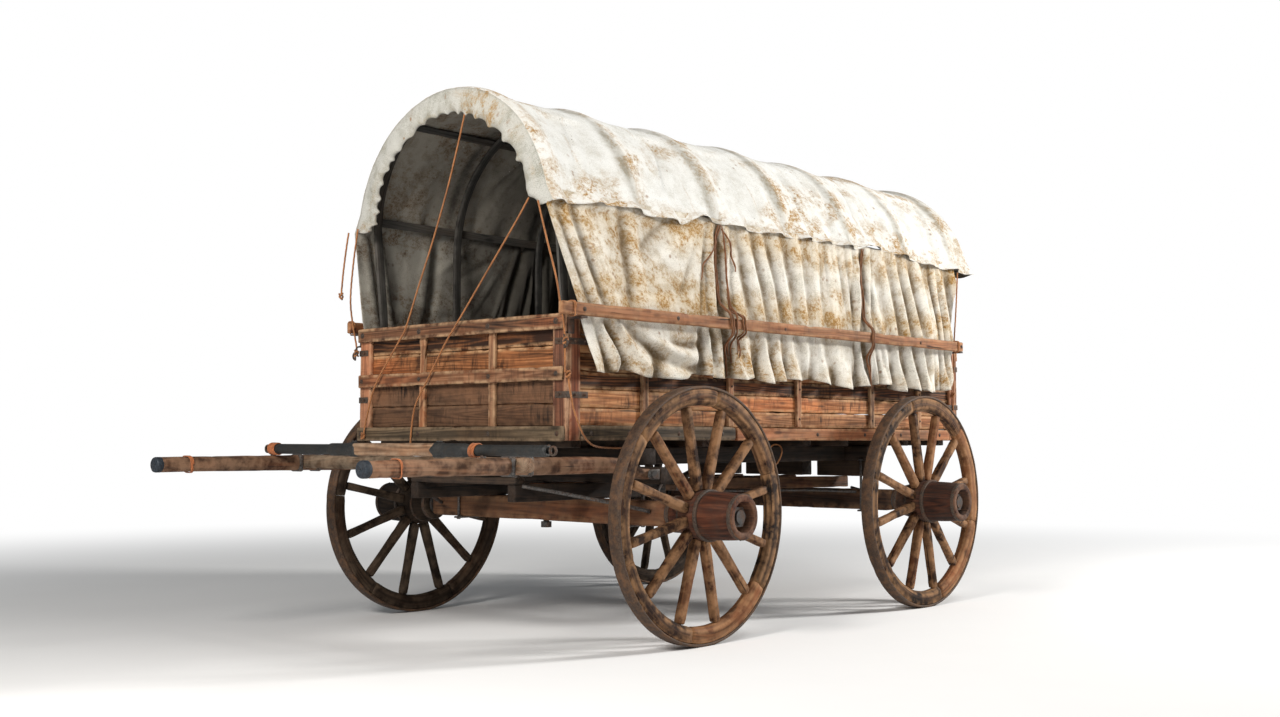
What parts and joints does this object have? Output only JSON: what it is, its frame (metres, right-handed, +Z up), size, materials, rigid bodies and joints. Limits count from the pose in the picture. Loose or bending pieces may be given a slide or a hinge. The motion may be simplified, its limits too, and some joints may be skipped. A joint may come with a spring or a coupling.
{
  "type": "covered wagon",
  "caption": "Four-wheeled wooden wagon with a boarded box under a bowed canvas cover, a fore-carriage that steers on a king bolt, spoked wheels and a pair of hinged draught shafts.",
  "frame": {"origin": "on the ground, at the middle of the whole wagon's length and width", "axes": "+X is the way the wagon travels, +Y is its left side, +Z is up"},
  "size_m": [4.624, 2.368, 2.475],
  "materials": {
    "box_boards": "weathered planks",
    "box_frame": "weathered",
    "floor_wood": "worn",
    "gear_wood": "dark and dirty",
    "wheel_wood": "worn",
    "hub_wood": "worn paint",
    "shaft_wood": "worn",
    "pale_wood": "bare",
    "bow_wood": "dark",
    "canvas": "coarse cotton canvas",
    "iron": "forged, rusty",
    "tyre_iron": "worn bright on the edges",
    "rope": "laid hemp"
  },
  "bodies": {
    "wagon": {"floor_boards": "floor_wood", "cross_sills": "gear_wood", "side_bearers": "gear_wood", "left_side_boards": "box_boards", "right_side_boards": "box_boards", "left_side_stakes": "box_frame", "right_side_stakes": "box_frame", "left_bottom_rail": "box_frame", "right_bottom_rail": "box_frame", "front_boards": "box_boards", "front_frame": "box_frame", "tail_boards": "box_boards", "tail_frame": "box_frame", "corner_posts": "box_frame", "curtain_rails": "box_frame", "rail_brackets": "iron", "bows": "bow_wood", "purlins": "bow_wood", "canvas_roof": "canvas", "left_curtain": "canvas", "right_curtain": "canvas", "front_bolster": "gear_wood", "rear_bolster": "gear_wood", "reach": "gear_wood", "rear_hounds": "gear_wood", "rear_axle_beam": "gear_wood", "rear_axle_arms": "iron", "king_bolt": "iron", "front_stays": "rope", "corner_lashings": "rope", "left_slack_rope": "rope", "right_rope_tail": "rope"},
    "fore_carriage": {"front_axle_beam": "gear_wood", "front_axle_arms": "iron", "front_hounds": "gear_wood", "hound_bars": "gear_wood", "sand_board": "gear_wood", "shaft_pins": "iron"},
    "draught_shafts": {"left_shaft": "shaft_wood", "right_shaft": "shaft_wood", "splinter_bar": "pale_wood", "evener_bar": "iron"},
    "front_left_wheel": {"front_left_tyre": "tyre_iron", "front_left_rim": "wheel_wood", "front_left_spokes": "wheel_wood", "front_left_hub": "hub_wood"},
    "front_right_wheel": {"front_right_tyre": "tyre_iron", "front_right_rim": "wheel_wood", "front_right_spokes": "wheel_wood", "front_right_hub": "hub_wood"},
    "rear_left_wheel": {"rear_left_tyre": "tyre_iron", "rear_left_rim": "wheel_wood", "rear_left_spokes": "wheel_wood", "rear_left_hub": "hub_wood"},
    "rear_right_wheel": {"rear_right_tyre": "tyre_iron", "rear_right_rim": "wheel_wood", "rear_right_spokes": "wheel_wood", "rear_right_hub": "hub_wood"}
  },
  "joints": [
    {"name": "steer", "type": "hinge", "parent": "wagon", "child": "fore_carriage", "pos_m": [0.67, 0, 0.768], "axis": [0, 0, 1], "range_deg": [-18, 18]},
    {"name": "shafts_pitch", "type": "hinge", "parent": "fore_carriage", "child": "draught_shafts", "pos_m": [0.767, 0, 0.735], "axis": [0, 1, 0], "range_deg": [-5, 28]},
    {"name": "front_left_spin", "type": "hinge", "parent": "fore_carriage", "child": "front_left_wheel", "pos_m": [0.67, 0.945, 0.56], "axis": [0, 1, 0], "continuous": true},
    {"name": "front_right_spin", "type": "hinge", "parent": "fore_carriage", "child": "front_right_wheel", "pos_m": [0.67, -0.945, 0.56], "axis": [0, 1, 0], "continuous": true},
    {"name": "rear_left_spin", "type": "hinge", "parent": "wagon", "child": "rear_left_wheel", "pos_m": [-1.218, 0.945, 0.56], "axis": [0, 1, 0], "continuous": true},
    {"name": "rear_right_spin", "type": "hinge", "parent": "wagon", "child": "rear_right_wheel", "pos_m": [-1.218, -0.945, 0.56], "axis": [0, 1, 0], "continuous": true}
  ]
}
